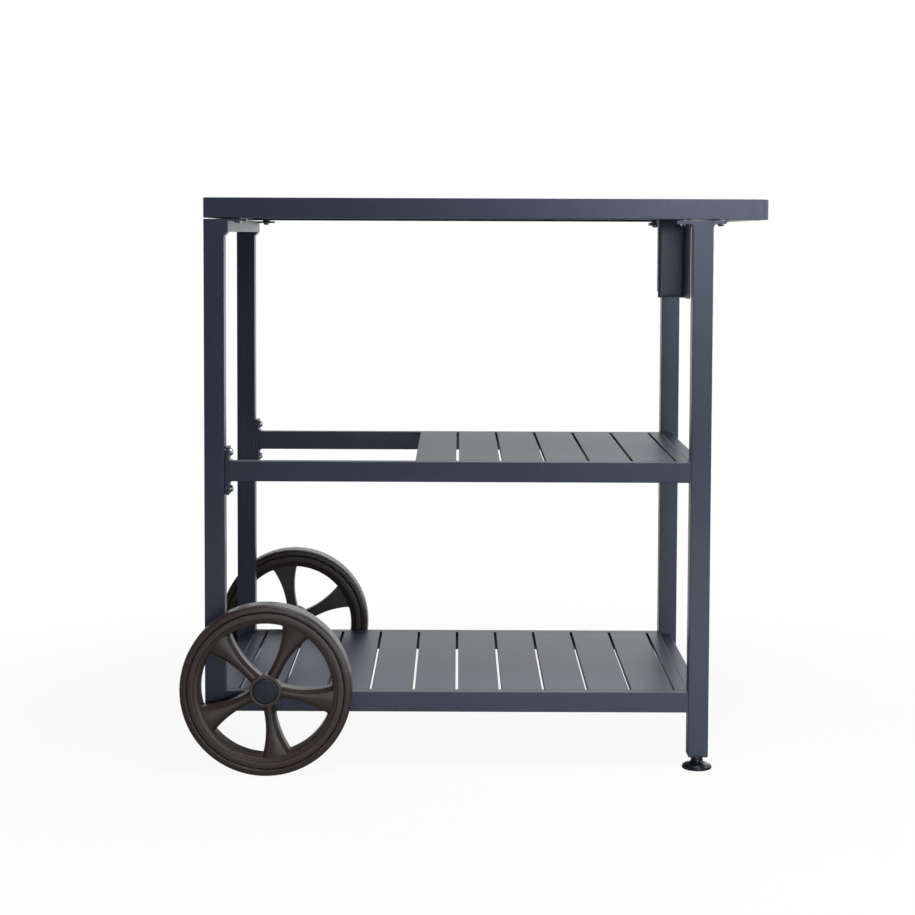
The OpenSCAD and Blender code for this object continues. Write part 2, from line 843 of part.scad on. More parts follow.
module top_rivet_nuts() { placed() on_top_bolts(0, 0) rivet_nut(); }
module mid_bolts() { placed() on_mid_bolts(mid_plate_x + plate_t + washer_t) button_bolt(); }
module mid_rivet_nuts() { placed() on_mid_bolts(mid_plate_x) rivet_nut(); }
module hanger_screws() { placed() hanger_screw_places() hanger_screw(); }

module mid_washers() {
    placed() on_mid_bolts(mid_plate_x + plate_t + washer_t)
        color("#c9ccd0") ring(bolt_d + 2 * fit, washer_d, washer_t);
}

module mid_slats() {
    first = slat_count(-inner_x, inner_x) - mid_count;
    placed() slat_row(-inner_x, inner_x, mid_z, frame_d - 2 * rail_w, first);
}

leg_front_left();
leg_rear_left();
leg_front_right();
leg_rear_right();
leg_heads_left();
leg_heads_right();
placed() left_cross_rail();
leg_caps_left();
leg_inserts_right();
top_front_rail();
top_rear_rail();
placed() top_left_rail();
placed() top_inner_rail();
placed() handle_bar();
top_slats();
mid_front_rail();
mid_rear_rail();
mid_right_rail();
mid_slats();
mid_plate_front();
mid_plate_rear();
low_front_rail();
low_rear_rail();
low_left_rail();
low_right_rail();
low_slats();
axle_bracket_front();
axle_bracket_rear();
stub_axle_front();
stub_axle_rear();
axle_washers();
axle_nuts();
top_bolts();
top_rivet_nuts();
mid_bolts();
mid_washers();
mid_rivet_nuts();
placed() hanger();
hanger_screws();
tyre_front();
wheel_front();
bushes_front();
hub_cap_front();
tyre_rear();
wheel_rear();
bushes_rear();
hub_cap_rear();
foot_front();
foot_stud_front();
foot_rear();
foot_stud_rear();
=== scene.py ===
"""Plancha grill trolley: wheels, tyres, caps, feet, bolts and hanger modelled over the packed
frame, with coats, plastics, steel, lamps and camera. Sections are drawn in millimetres."""
import math

import bmesh
import bpy
from bpy.props import FloatProperty, FloatVectorProperty, IntProperty, PointerProperty
from mathutils import Matrix, Vector


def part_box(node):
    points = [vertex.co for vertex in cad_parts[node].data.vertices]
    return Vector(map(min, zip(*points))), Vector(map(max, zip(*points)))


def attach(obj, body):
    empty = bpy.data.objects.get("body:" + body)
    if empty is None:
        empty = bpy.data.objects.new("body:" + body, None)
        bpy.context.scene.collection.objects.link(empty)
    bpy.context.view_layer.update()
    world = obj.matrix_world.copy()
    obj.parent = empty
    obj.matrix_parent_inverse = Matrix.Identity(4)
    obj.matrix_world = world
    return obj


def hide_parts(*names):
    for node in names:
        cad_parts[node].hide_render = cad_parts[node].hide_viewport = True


bl_info = {
    "name": "Plancha Grill Trolley",
    "version": (1, 0, 0),
    "blender": (4, 5, 0),
    "location": "View3D > Sidebar > Trolley",
    "description": "Models and finishes the pieces of a grill trolley",
    "category": "Object",
}

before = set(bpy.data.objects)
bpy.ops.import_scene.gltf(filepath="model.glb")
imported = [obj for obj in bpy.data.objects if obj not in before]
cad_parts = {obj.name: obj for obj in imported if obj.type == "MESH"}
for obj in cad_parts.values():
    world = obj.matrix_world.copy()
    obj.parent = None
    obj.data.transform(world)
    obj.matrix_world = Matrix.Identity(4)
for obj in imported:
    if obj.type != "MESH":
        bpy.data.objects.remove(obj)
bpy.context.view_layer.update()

MM = 0.001
# Distances under which two points count as one: in metres, and in a mesh drawn in mm
NEAR = 1e-5
NEAR_MM = 1e-4
# Steps of a rounding in a turned section
ROUNDING_STEPS = 4
# How far each wheel stands turned about its axle, in degrees
WHEELS = (("front", 63.0), ("rear", 100.0))
FEET = ("front", "rear")
# Distance from the left side of one slat to that of the next, in mm
SLAT_PITCH = 65
# CAD nodes that keep their shape and get a finish
COATED = (
    "leg_front_left", "leg_rear_left", "leg_front_right", "leg_rear_right", "leg_heads_left",
    "leg_heads_right", "left_cross_rail", "top_front_rail", "top_rear_rail", "top_left_rail",
    "top_inner_rail", "handle_bar", "mid_front_rail", "mid_rear_rail", "mid_right_rail",
    "mid_plate_front", "mid_plate_rear", "low_front_rail", "low_rear_rail", "low_left_rail",
    "low_right_rail", "axle_bracket_front", "axle_bracket_rear", "leg_inserts_right",
)
SLATTED = ("top_slats", "mid_slats", "low_slats")
ZINC = ("stub_axle_front", "stub_axle_rear", "axle_washers", "axle_nuts", "hanger_screws",
        "top_rivet_nuts", "mid_rivet_nuts")


def colour(text):
    """Linear colour of an sRGB hex value."""
    parts = [int(text[i:i + 2], 16) / 255 for i in (1, 3, 5)]
    return tuple(p / 12.92 if p <= 0.04045 else ((p + 0.055) / 1.055) ** 2.4 for p in parts)


def swatch(name, description, text):
    """Colour property with an sRGB hex value as its default."""
    return FloatVectorProperty(name=name, description=description, default=colour(text),
                               size=3, min=0, max=1, subtype="COLOR")


class CoatSettings(bpy.types.PropertyGroup):
    """Powder coat of the tubes, slats, plates and hanger."""
    tint: swatch("Coat", "Colour of the powder coat", "#414659")
    speck: swatch("Coat specks", "Colour of the coat's darker specks", "#373c4d")
    cap_tint: swatch("Leg caps", "Colour of the leg ends' plastic caps", "#1e2024")
    roughness: FloatProperty(name="Roughness", description="Roughness of the coat",
                             default=0.42, min=0.1, max=1)
    grain: FloatProperty(name="Grain", description="Width of the coat's grain, in mm",
                         default=1.6, min=0.2, max=10)


class WheelSettings(bpy.types.PropertyGroup):
    """Moulded wheels, tyres and hub caps."""
    wheel_tint: swatch("Wheel", "Colour of the wheel's plastic", "#443a35")
    tyre_tint: swatch("Tyre", "Colour of the tyre's plastic", "#403632")
    cap_tint: swatch("Hub cap", "Colour of the hub cap", "#1f242e")
    hollow_radius: FloatProperty(name="Spoke hollow", default=140, min=100, max=200,
                                 description="Radius of the spokes' hollow sides, in mm")
    corner: FloatProperty(name="Window corner", default=4, min=1, max=8,
                          description="Rounding of the windows at the rim, in mm")
    sipes: IntProperty(name="Sipes", default=240, min=60, max=300,
                       description="Number of cross cuts round the tread")


class FittingSettings(bpy.types.PropertyGroup):
    """Feet, studs and bolts."""
    foot_tint: swatch("Foot", "Colour of the feet's plastic", "#1c1f26")
    bush_tint: swatch("Bush", "Colour of the nylon bushes", "#d6d5cb")
    steel_tint: swatch("Bolts", "Colour of the stainless bolts", "#c4c5c7")
    zinc_tint: swatch("Zinc", "Colour of the zinc plated parts", "#b9bcc0")
    socket: FloatProperty(name="Socket", default=4, min=2, max=5,
                          description="Width across flats of the bolts' sockets, in mm")
    thread_pitch: FloatProperty(name="Thread pitch", default=1.5, min=0.5, max=3,
                                description="Pitch of the feet's threads, in mm")


class HangerSettings(bpy.types.PropertyGroup):
    """Folded sheet hanger."""
    bend: FloatProperty(name="Bend", description="Radius of the sheet's bends",
                        default=3.5 * MM, min=1.5 * MM, max=8 * MM, unit="LENGTH")


class StageSettings(bpy.types.PropertyGroup):
    """Camera, lamps and floor."""
    eye: FloatVectorProperty(name="Camera place", description="Where the camera stands",
                             default=(-0.0263, -3.3626, 0.7929), size=3, subtype="TRANSLATION")
    pitch: FloatProperty(name="Camera pitch", description="How far the camera looks down",
                         default=math.radians(3.61), subtype="ANGLE")
    roll: FloatProperty(name="Camera roll", description="How far the camera leans",
                        default=math.radians(0.22), subtype="ANGLE")
    lens: FloatProperty(name="Lens", description="Focal length in mm", default=83.21,
                        min=20, max=200)
    rise: FloatProperty(name="Lens rise", description="Vertical shift of the lens",
                        default=-0.095, min=-0.3, max=0.3)
    key: FloatProperty(name="Key lamp", default=0.8, min=0, max=500, subtype="POWER",
                       description="Power of the gridded softbox in front of the handle")
    low: FloatProperty(name="Low lamp", default=0.55, min=0, max=500, subtype="POWER",
                       description="Power of the small softbox low at the right")
    strip: FloatProperty(name="Strip lamp", default=0.75, min=0, max=500, subtype="POWER",
                         description="Power of the strip softbox near the floor")
    overhead: FloatProperty(name="Overhead lamp", default=39, min=0, max=500, subtype="POWER",
                            description="Power of the softbox above the front")
    rear: FloatProperty(name="Rear lamp", default=4.2, min=0, max=500, subtype="POWER",
                        description="Power of the softbox behind, which shines on the slats")
    side: FloatProperty(name="Side lamps", default=7, min=0, max=500, subtype="POWER",
                        description="Power of the right softbox, six times the left one's")
    ambient: FloatProperty(name="Ambient", description="Level of the light all round",
                           default=0.04, min=0, max=1)
    floor_tint: swatch("Floor", "Colour of the floor", "#f4f4f4")
    cool: swatch("Cool light", "Colour of the lamps that shine level", "#edf6ff")


# Shared helpers

def add_node(tree, kind, values=None, links=None, **settings):
    """Adds a node, sets its settings and socket values, and links its inputs."""
    node = tree.nodes.new("ShaderNode" + kind)
    for name, value in settings.items():
        setattr(node, name, value)
    for socket, value in (values or {}).items():
        node.inputs[socket].default_value = value
    for socket, source in (links or {}).items():
        tree.links.new(source, node.inputs[socket])
    return node


def new_material(name):
    """Empty node material and its tree."""
    material = bpy.data.materials.new(name)
    material.use_nodes = True
    material.node_tree.nodes.clear()
    return material, material.node_tree


def end_material(tree, paint, grain, gloss, relief, values):
    """Puts a shader on the output. Its roughness and its relief follow one grain: gloss is the
    lowest and highest roughness, and relief the strength and the depth in mm."""
    rough = add_node(tree, "MapRange", {"To Min": gloss[0], "To Max": gloss[1]},
                     {"Value": grain.outputs["Fac"]})
    bump = add_node(tree, "Bump", {"Strength": relief[0], "Distance": relief[1] * MM},
                    {"Height": grain.outputs["Fac"]})
    shader = add_node(tree, "BsdfPrincipled", values, {
        "Base Color": paint.outputs["Color"], "Roughness": rough.outputs["Result"],
        "Normal": bump.outputs["Normal"]})
    add_node(tree, "OutputMaterial", links={"Surface": shader.outputs["BSDF"]})


def per_metre(width):
    """Scale of a noise whose spots are that many millimetres wide."""
    return 1 / (width * MM)


def rgba(tint):
    """Colour with full alpha for a socket."""
    return (tint[0], tint[1], tint[2], 1.0)


def dress(material, *nodes):
    """Gives CAD nodes a material."""
    for name in nodes:
        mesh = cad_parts[name].data
        mesh.materials.clear()
        mesh.materials.append(material)


def finish_piece(name, bm, material, body, nodes):
    """Makes an object of a finished mesh, which rides on a body and replaces CAD nodes."""
    crease = math.radians(30)
    for face in bm.faces:
        face.smooth = True
    for edge in bm.edges:
        edge.smooth = len(edge.link_faces) == 2 and edge.calc_face_angle(0) < crease
    mesh = bpy.data.meshes.new(name)
    bm.to_mesh(mesh)
    bm.free()
    mesh.materials.append(material)
    piece = bpy.data.objects.new(name, mesh)
    bpy.context.scene.collection.objects.link(piece)
    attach(piece, body)
    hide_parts(*nodes)
    return piece


def put_in_place(bm, matrix):
    """Moves a mesh in mm to its place in metres, with its faces pointing outwards."""
    bmesh.ops.transform(bm, matrix=matrix @ Matrix.Scale(MM, 4), verts=bm.verts)
    bmesh.ops.recalc_face_normals(bm, faces=bm.faces)


def lathe(bm, outline, steps, closed=False):
    """Spins an outline of (radius, height, rounding) about Z and merges its ends and poles."""
    verts = [bm.verts.new((r, 0, h)) for r, h, _ in outline]
    pairs = list(zip(verts, verts[1:]))
    if closed:
        pairs.append((verts[-1], verts[0]))
    for pair in pairs:
        bm.edges.new(pair)
    line = set(verts)
    for vert, (_, _, rounding) in zip(verts, outline):
        if rounding:
            made = bmesh.ops.bevel(bm, geom=[vert], offset=rounding, offset_type="OFFSET",
                                   segments=ROUNDING_STEPS, profile=0.5, affect="VERTICES",
                                   material=-1)
            line.discard(vert)
            line.update(made["verts"])
    line = [v for v in line if v.is_valid]
    geom = line + list({e for v in line for e in v.link_edges})
    spun = bmesh.ops.spin(bm, geom=geom, cent=(0, 0, 0), axis=(0, 0, 1), dvec=(0, 0, 0),
                          angle=2 * math.pi, steps=steps, use_merge=True)
    ends = {v for g in spun["geom_last"] for v in
            (g.verts if isinstance(g, bmesh.types.BMEdge) else [g])}
    poles = {v for v in bm.verts if v.co.xy.length < NEAR_MM}
    bmesh.ops.remove_doubles(bm, verts=list(poles | ends), dist=NEAR_MM)


def draw_loop(bm, points):
    """Closed loop: a circle whose vertices are moved onto the points."""
    made = bmesh.ops.create_circle(bm, cap_ends=False, segments=len(points), radius=1)
    for vert, point in zip(made["verts"], points):
        vert.co = point
    return made["verts"]


def loop_edges(verts):
    """Edges that join the vertices of a loop to each other."""
    inside = set(verts)
    return list({e for v in verts for e in v.link_edges if e.other_vert(v) in inside})


def carry_loop(bm, verts, points):
    """Extrudes a closed loop and moves the new one onto the points."""
    place = {v.co.to_tuple(5): i for i, v in enumerate(verts)}
    made = bmesh.ops.extrude_edge_only(bm, edges=loop_edges(verts))["geom"]
    new = [None] * len(verts)
    for item in made:
        if isinstance(item, bmesh.types.BMVert):
            new[place[item.co.to_tuple(5)]] = item
    for vert, point in zip(new, points):
        vert.co = point
    return new


def ring_points(radius, height, count, flats=0):
    """Points of a circle, or of a polygon with that many flats, at a height."""
    points = []
    for i in range(count):
        turn = 2 * math.pi * i / count
        reach = radius
        if flats:
            part = 2 * math.pi / flats
            reach = radius / math.cos(turn % part - part / 2)
        points.append(Vector((reach * math.cos(turn), reach * math.sin(turn), height)))
    return points


def solid_boxes(name):
    """Lowest and highest corner of each solid of a CAD node, from left to right."""
    bm = bmesh.new()
    bm.from_mesh(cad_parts[name].data)
    bmesh.ops.remove_doubles(bm, verts=bm.verts, dist=NEAR)
    left, boxes = set(bm.verts), []
    while left:
        group, edge = set(), [left.pop()]
        while edge:
            vert = edge.pop()
            group.add(vert)
            near = {e.other_vert(vert) for e in vert.link_edges} & left
            left -= near
            edge.extend(near)
        boxes.append(tuple(Vector(pick(v.co[i] for v in group) for i in range(3))
                           for pick in (min, max)))
    bm.free()
    return sorted(boxes, key=lambda b: (round(b[0].x, 5), round(b[0].y, 5), round(b[0].z, 5)))


def wheel_place(side, turn):
    """Place of a wheel's pieces: Z of the piece runs outwards along the axle."""
    low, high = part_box("tyre_" + side)
    outwards = 1 if side == "front" else -1
    return (Matrix.Translation((low + high) / 2) @ Matrix.Scale(outwards, 4, (0, 1, 0))
            @ Matrix.Rotation(math.pi / 2, 4, "X")
            @ Matrix.Rotation(math.radians(turn), 4, "Z"))


# Finishes

def powder_coat(name, settings, boards=0):
    """Polyester powder coat with a fine texture, sprayed on aluminium tube: matt, with specks.
    Where boards is a pitch in mm, the tone changes a little from one board to the next."""
    material, tree = new_material(name)
    place = add_node(tree, "TexCoord").outputs["Object"]
    # The real grain is about 0.3 mm wide, and it is drawn coarser so that it shows
    grain = add_node(tree, "TexNoise", {"Scale": per_metre(settings.grain), "Detail": 3,
                                        "Roughness": 0.6}, {"Vector": place})
    # The spray leaves faint clouds, about as wide as a hand
    cloud = add_node(tree, "TexNoise", {"Scale": per_metre(111.1), "Detail": 3},
                     {"Vector": place})
    # A noise keeps near its middle, so its middle part is spread over the whole range
    spread = add_node(tree, "MapRange", {"From Min": 0.35, "From Max": 0.65},
                      {"Value": grain.outputs["Fac"]})
    tone = add_node(tree, "Mix", {"A": rgba(settings.tint), "B": rgba(settings.speck)},
                    {"Factor": spread.outputs["Result"]}, data_type="RGBA")
    level = add_node(tree, "MapRange", {"To Min": 0.94, "To Max": 1.06},
                     {"Value": cloud.outputs["Fac"]}).outputs["Result"]
    if boards:
        # Each slat is sprayed by itself, so its coat differs a little
        along = add_node(tree, "SeparateXYZ", links={"Vector": place}).outputs["X"]
        count = add_node(tree, "Math", {1: boards * MM}, {0: along}, operation="DIVIDE")
        number = add_node(tree, "Math", links={0: count.outputs["Value"]}, operation="FLOOR")
        chance = add_node(tree, "TexWhiteNoise", links={"W": number.outputs["Value"]},
                          noise_dimensions="1D")
        share = add_node(tree, "MapRange", {"To Min": 0.93, "To Max": 1.07},
                         {"Value": chance.outputs["Value"]})
        level = add_node(tree, "Math", links={0: level, 1: share.outputs["Result"]},
                         operation="MULTIPLY").outputs["Value"]
    paint = add_node(tree, "HueSaturation", links={"Color": tone.outputs["Result"],
                                                   "Value": level})
    end_material(tree, paint, grain, (settings.roughness - 0.05, settings.roughness + 0.07),
                 (0.3, 0.08), {"IOR": 1.5})
    return material


def moulded_plastic(name, tint, roughness, grain_mm, relief_mm, shade=0.12):
    """Injection moulded plastic: spark eroded mould grain, faint flow clouds, soft gloss."""
    material, tree = new_material(name)
    place = add_node(tree, "TexCoord").outputs["Object"]
    # Mould grain is about 0.2 mm wide, and it is drawn coarser so that it shows
    grain = add_node(tree, "TexNoise", {"Scale": per_metre(grain_mm), "Detail": 2},
                     {"Vector": place})
    # The melt leaves faint clouds where it flowed together, some 70 mm wide
    flow = add_node(tree, "TexNoise", {"Scale": per_metre(71.4), "Detail": 4,
                                       "Distortion": 0.4}, {"Vector": place})
    level = add_node(tree, "MapRange", {"To Min": 1 - shade, "To Max": 1 + shade},
                     {"Value": flow.outputs["Fac"]})
    paint = add_node(tree, "HueSaturation", {"Color": rgba(tint)},
                     {"Value": level.outputs["Result"]})
    end_material(tree, paint, grain, (roughness - 0.06, roughness + 0.08),
                 (0.35, relief_mm), {"IOR": 1.49})
    return material


def plated_steel(name, tint, roughness, streak_mm):
    """Turned or plated steel: bright, with fine tool streaks and cloudy reflections."""
    material, tree = new_material(name)
    place = add_node(tree, "TexCoord").outputs["Object"]
    # Tool marks are about 0.05 mm apart, and they are drawn coarser so that they show
    streak = add_node(tree, "TexNoise", {"Scale": per_metre(streak_mm), "Detail": 2},
                      {"Vector": place})
    # Brighter and duller places, about 8 mm wide
    cloud = add_node(tree, "TexNoise", {"Scale": per_metre(8.33), "Detail": 3},
                     {"Vector": place})
    level = add_node(tree, "MapRange", {"To Min": 0.8, "To Max": 1.15},
                     {"Value": cloud.outputs["Fac"]})
    paint = add_node(tree, "HueSaturation", {"Color": rgba(tint)},
                     {"Value": level.outputs["Result"]})
    end_material(tree, paint, streak, (roughness - 0.07, roughness + 0.09),
                 (0.25, 0.02), {"Metallic": 1.0})
    return material


# Wheels. Distances outwards are from the tyre's middle plane, along the axle

SPOKES = 5
# Reach of the windows between the spokes: to the rim, and to the hub
WINDOW_RIM_R = 98.0
WINDOW_HUB_R = 21.6
# Where along a spoke its sides are most hollow, and half its width there
SPOKE_WAIST = 38
SPOKE_HALF = 8
# Rounding of the windows at the hub
ROOT = 3.0
# How much the roundings shrink for each mm of inset, and how small they get: rim, hub
CORNER_SHRINK, CORNER_LEAST = 0.62, 0.7
ROOT_SHRINK, ROOT_LEAST = 0.4, 0.8
# Steps of half a window's outline: rim, corner there, spoke's side, corner at the hub, hub
WINDOW_STEPS = (14, 7, 20, 6, 3)
# Moulding round a window: inset from the spoke's side, inset from the rim, distance outwards
MOULDING = (
    (5.0, 2.1, 16.4), (4.8, 2.05, 16.3), (4.62, 2.0, 15.8), (4.5, 1.95, 14.25),
    (4.25, 1.85, 14.45), (3.7, 1.7, 14.7), (3.15, 1.5, 14.4), (2.95, 1.4, 13.7),
    (2.83, 1.36, 11.75), (2.6, 1.25, 11.95), (2.05, 1.05, 12.2), (1.5, 0.85, 11.9),
    (1.3, 0.75, 11.2), (1.18, 0.7, 9.3), (0.95, 0.62, 9.5), (0.55, 0.5, 9.65),
    (0.15, 0.36, 9.3), (0.0, 0.3, 8.5), (0.0, 0.3, -12.6), (0.4, 0.4, -13.4),
    (1.0, 0.7, -14.0),
)
# Edges of the spoked plate, inside the rim's and the hub's walls, and the steps round them
PLATE_EDGES = (103.0, 15.0)
PLATE_STEPS = 90
# Rim section (radius, distance outwards, rounding, as for hub and cap): outer lip, step, band
# with a rounded inner ridge, stepped inner wall, key
RIM = (
    (97.9, -16.6, 0.5), (98.0, 8.9, 0), (98.5, 9.2, 0.1), (98.6, 11.3, 0), (99.1, 11.6, 0.1),
    (99.2, 13.7, 0), (99.8, 14.0, 0.1), (100.0, 18.2, 0.7), (105.2, 20.0, 0.3),
    (105.7, 19.7, 0.2), (106.3, 19.7, 0.2), (106.8, 22.0, 0.6), (114.9, 22.0, 0.5),
    (115.4, 19.4, 0.2), (115.95, 19.2, 0), (115.95, 9, 0), (113, 9, 0), (113, -9, 0),
    (115.95, -9, 0), (115.95, -21.0, 0.2), (115.0, -22.0, 0.5), (106.6, -22.0, 0.5),
    (106.0, -20.4, 0.3), (98.4, -17.2, 0.4),
)
# Hub section: barrel, raised ring round the cap's recess, bore
HUB = (
    (8.06, -18.2, 0.3), (22.0, -18.2, 0.8), (22.0, 7.6, 0.4), (23.8, 9.4, 0.6),
    (23.8, 22.8, 1.1), (18.6, 22.8, 0.5), (18.4, 7.0, 0), (8.06, 7.0, 0),
)
# Cap section from its middle: low dome with a fine ring near the edge, skirt
CAP = (
    (0, 24.0, 0), (14.4, 23.86, 0.15), (14.8, 23.62, 0.12), (15.2, 23.82, 0.15),
    (17.2, 23.5, 0.8), (18.2, 22.4, 0.3), (18.2, 16.7, 0), (16.4, 16.7, 0), (16.4, 20.5, 0),
    (0, 20.5, 0),
)
# Steps round the rim, and round the hub and its cap
RIM_STEPS = 180
HUB_STEPS = 96
# Half of the tyre's section: key in the rim, bead, sidewall, shoulder (radius, outwards)
TYRE_SIDE = (
    (113.2, 9), (116.0, 9), (116.05, 19.5), (116.3, 20.6), (116.75, 21.45), (117.4, 21.9),
    (118.2, 22.0), (123.6, 21.9), (124.6, 21.75), (125.4, 21.2), (125.95, 20.4),
    (126.2, 19.4), (126.25, 17.2),
)
# Tread: radius of its ribs and of the grooves between them, number of ribs, their pitch from
# the outermost, width of a groove, rounding of the ribs' edges, depth of the cross cuts
TREAD_R = 127.0
GROOVE_R = 125.7
RIBS = 5
RIB_PITCH = 6.4
OUTER_RIB = 15.2
GROOVE = 1.6
RIB_EDGE = (0.35, 0.5)
SIPE = 0.5


def corner_centre(reach, side_centre, side_reach):
    """Centre of a window corner, that far from the axle and from a spoke side's centre."""
    gap = side_centre.length
    along = (reach ** 2 - side_reach ** 2 + gap ** 2) / (2 * gap)
    across = math.sqrt(reach ** 2 - along ** 2)
    way = side_centre / gap
    choices = [way * along + Vector((-way.y, way.x)) * across * sign for sign in (-1, 1)]
    return max(choices, key=lambda p: p.y)


def arc_points(centre, radius, start, end, count):
    """Points of an arc between two directions, without its last point."""
    first = math.atan2(start.y, start.x)
    sweep = (math.atan2(end.y, end.x) - first + math.pi) % (2 * math.pi) - math.pi
    return [centre + Vector((math.cos(first + sweep * i / count),
                             math.sin(first + sweep * i / count))) * radius
            for i in range(count)]


def window_points(settings, inset, rim_inset, height):
    """Outline of the window about local X at one level of its moulding."""
    side_r = settings.hollow_radius + inset
    side_centre = Matrix.Rotation(math.pi / SPOKES, 2) @ Vector(
        (SPOKE_WAIST, -settings.hollow_radius - SPOKE_HALF))
    rim_r = WINDOW_RIM_R + rim_inset
    corner = max(settings.corner - CORNER_SHRINK * inset, CORNER_LEAST)
    root = max(ROOT - ROOT_SHRINK * inset, ROOT_LEAST)
    outer = corner_centre(rim_r - corner, side_centre, side_r - corner)
    inner = corner_centre(WINDOW_HUB_R + root, side_centre, side_r - root)
    axle, middle = Vector((0, 0)), Vector((1, 0))
    to_outer, to_inner = outer - side_centre, inner - side_centre
    arcs = ((axle, rim_r, middle, outer), (outer, corner, outer, to_outer),
            (side_centre, side_r, to_outer, to_inner), (inner, root, to_inner, -inner),
            (axle, WINDOW_HUB_R, inner, middle))
    half = [p for arc, steps in zip(arcs, WINDOW_STEPS) for p in arc_points(*arc, steps)]
    half.append(middle * WINDOW_HUB_R)
    lower = [Vector((p.x, -p.y)) for p in half[-2:0:-1]]
    return [Vector((p.x, p.y, height)) for p in half + lower]


def add_spokes(bm, settings):
    """Spoked plate: a moulding round each window, and faces in front and behind."""
    levels = [window_points(settings, *level) for level in MOULDING]
    loop = draw_loop(bm, levels[0])
    for points in levels[1:]:
        loop = carry_loop(bm, loop, points)
    bmesh.ops.rotate(bm, verts=bm.verts, cent=(0, 0, 0), matrix=Matrix.Rotation(
        math.pi / SPOKES, 3, "Z"))
    more = SPOKES - 1
    bmesh.ops.spin(bm, geom=bm.verts[:] + bm.edges[:] + bm.faces[:], cent=(0, 0, 0),
                   axis=(0, 0, 1), dvec=(0, 0, 0), angle=2 * math.pi * more / SPOKES,
                   steps=more, use_duplicate=True)
    front, back = MOULDING[0][2], MOULDING[-1][2]
    for radius in PLATE_EDGES:
        carry_loop(bm, draw_loop(bm, ring_points(radius, front, PLATE_STEPS)),
                   ring_points(radius, back, PLATE_STEPS))
    for height in (front, back):
        rims = [e for e in bm.edges if e.is_boundary
                and all(abs(v.co.z - height) < NEAR_MM for v in e.verts)]
        bmesh.ops.triangle_fill(bm, use_beauty=True, use_dissolve=False, edges=rims,
                                normal=(0, 0, 1))


class TROLLEY_OT_wheels(bpy.types.Operator):
    """Models both moulded wheels: rim, hub and five spokes"""
    bl_idname = "trolley.wheels"
    bl_label = "Wheels"

    def execute(self, context):
        settings = context.scene.trolley_wheels
        # Moulded polypropylene: dark brown grey, satin
        plastic = moulded_plastic("moulded_polypropylene", settings.wheel_tint,
                                  0.33, 1.2, 0.03)
        for side, turn in WHEELS:
            bm = bmesh.new()
            add_spokes(bm, settings)
            lathe(bm, RIM, RIM_STEPS, closed=True)
            lathe(bm, HUB, HUB_STEPS, closed=True)
            put_in_place(bm, wheel_place(side, turn))
            finish_piece("moulded_wheel_" + side, bm, plastic, side + "_wheel",
                         ["wheel_" + side])
        return {"FINISHED"}


def tyre_outline():
    """Closed section of the tyre: both sides and a ribbed tread."""
    drop, reach = RIB_EDGE
    tread = [(GROOVE_R, OUTER_RIB + GROOVE), (GROOVE_R, OUTER_RIB)]
    for i in range(RIBS):
        top = OUTER_RIB - i * RIB_PITCH
        low = top - RIB_PITCH + GROOVE
        tread += [(TREAD_R - drop, top), (TREAD_R, top - reach), (TREAD_R, low + reach),
                  (TREAD_R - drop, low), (GROOVE_R, low), (GROOVE_R, low - GROOVE)]
    other_side = [(r, -w) for r, w in reversed(TYRE_SIDE)]
    return [(r, w, 0) for r, w in list(TYRE_SIDE) + tread + other_side]


class TROLLEY_OT_tyres(bpy.types.Operator):
    """Models both tyres with a ribbed tread and fine cross cuts"""
    bl_idname = "trolley.tyres"
    bl_label = "Tyres"

    def execute(self, context):
        settings = context.scene.trolley_wheels
        # Moulded elastomer: dark brown, a little glossier than the wheel on its shoulders
        plastic = moulded_plastic("moulded_tyre_elastomer", settings.tyre_tint,
                                  0.25, 1.4, 0.03)
        for side, turn in WHEELS:
            bm = bmesh.new()
            lathe(bm, tyre_outline(), settings.sipes * 2, closed=True)
            part = math.pi / settings.sipes
            for vert in bm.verts:
                reach = vert.co.xy.length
                if reach > TREAD_R - SIPE:
                    number = round(math.atan2(vert.co.y, vert.co.x) / part)
                    if number % 2:
                        vert.co.xy *= (reach - SIPE) / reach
            put_in_place(bm, wheel_place(side, turn))
            finish_piece("ribbed_tyre_" + side, bm, plastic, side + "_wheel",
                         ["tyre_" + side])
        return {"FINISHED"}


class TROLLEY_OT_hub_caps(bpy.types.Operator):
    """Models both hub caps"""
    bl_idname = "trolley.hub_caps"
    bl_label = "Hub caps"

    def execute(self, context):
        settings = context.scene.trolley_wheels
        # Moulded ABS: blue black, matt from a fine spark grain
        plastic = moulded_plastic("moulded_abs_cap", settings.cap_tint, 0.5, 1.0, 0.04)
        for side, _ in WHEELS:
            bm = bmesh.new()
            lathe(bm, CAP, HUB_STEPS)
            put_in_place(bm, wheel_place(side, 0))
            finish_piece("domed_hub_cap_" + side, bm, plastic, side + "_wheel",
                         ["hub_cap_" + side])
        return {"FINISHED"}


# Feet

# Foot section from its middle (radius, height, rounding): disc with a ring groove, domed
# crown, flared neck, bore for the stud
FOOT = (
    (0, 0, 0), (21.2, 0, 0.8), (22.25, 1.4, 0.7), (22.25, 4.4, 1.2), (21.1, 5.7, 0.4),
    (20.5, 5.2, 0.2), (20.0, 6.3, 0.5), (18.6, 7.4, 1.2), (14.4, 7.9, 1.8), (10.6, 9.6, 1.8),
    (8.9, 12.6, 1.2), (8.7, 18.8, 0.5), (5.05, 18.8, 0), (5.05, 6.0, 0), (0, 6.0, 0),
)
# Thread's profile (radius, share of the pitch), and the stud's core, tip and chamfer
THREAD = ((4.1, 0.0), (4.98, 0.44), (4.98, 0.56), (4.1, 1.0))
STUD_CORE = 4.25
STUD_TIP = 3.7
CHAMFER = 0.6
# Steps round the foot, the stud's core and one turn of its thread
FOOT_STEPS = 72
STUD_STEPS = 32
THREAD_STEPS = 24


